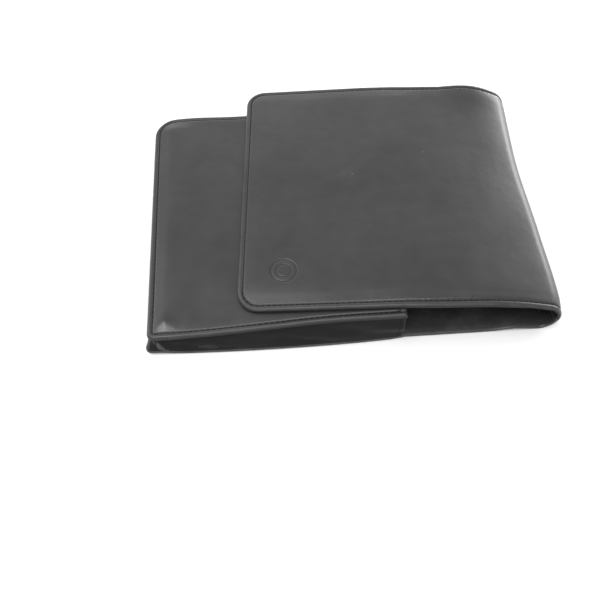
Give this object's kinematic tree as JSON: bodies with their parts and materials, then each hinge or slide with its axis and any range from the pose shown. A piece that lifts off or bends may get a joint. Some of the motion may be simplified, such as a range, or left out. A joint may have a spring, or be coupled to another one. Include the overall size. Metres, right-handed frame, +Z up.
{
  "type": "leather camera case",
  "caption": "Flat black leather pouch with stiffened panels, folded side gussets and a rounded flap that folds over the front.",
  "frame": {"origin": "middle of the object's box in X and Y, on the surface it lies on", "axes": "+X from the closed end to the fold, +Y from the near side to the far side, +Z up, with the flap on top"},
  "size_m": [0.2264, 0.1758, 0.0255],
  "materials": {
    "black_leather": "smooth satin black leather with a fine grain",
    "gusset_leather": "matt thin black leather",
    "black_lining": "dull black textile",
    "stiffener_board": "grey fibre board",
    "black_thread": "waxed black thread"
  },
  "bodies": {
    "case": {"back_leather": "black_leather", "back_board": "stiffener_board", "back_lining": "black_lining", "back_stitching": "black_thread", "front_leather": "black_leather", "front_board": "stiffener_board", "front_lining": "black_lining", "mouth_facing": "gusset_leather", "front_stitching": "black_thread", "gusset_near": "gusset_leather", "gusset_far": "gusset_leather", "gusset_near_lining": "black_lining", "gusset_far_lining": "black_lining"},
    "spine": {"spine_leather": "black_leather", "spine_lining": "black_lining", "spine_stitching_near": "black_thread", "spine_stitching_far": "black_thread"},
    "flap": {"flap_leather": "black_leather", "flap_board": "stiffener_board", "flap_lining": "black_lining", "flap_stitching": "black_thread"}
  },
  "joints": [
    {"name": "spine_fold", "type": "hinge", "parent": "case", "child": "spine", "pos_m": [0.10794, -0.00597, 0.00204], "axis": [0.0401, 0.9992, 0], "range_deg": [0, 90]},
    {"name": "flap_fold", "type": "hinge", "parent": "spine", "child": "flap", "pos_m": [0.1046, -0.00584, 0.02015], "axis": [0.0401, 0.9992, 0], "range_deg": [0, 90]}
  ],
  "couplings": [
    {"joint": "flap_fold", "follows": "spine_fold", "ratio": 1}
  ]
}
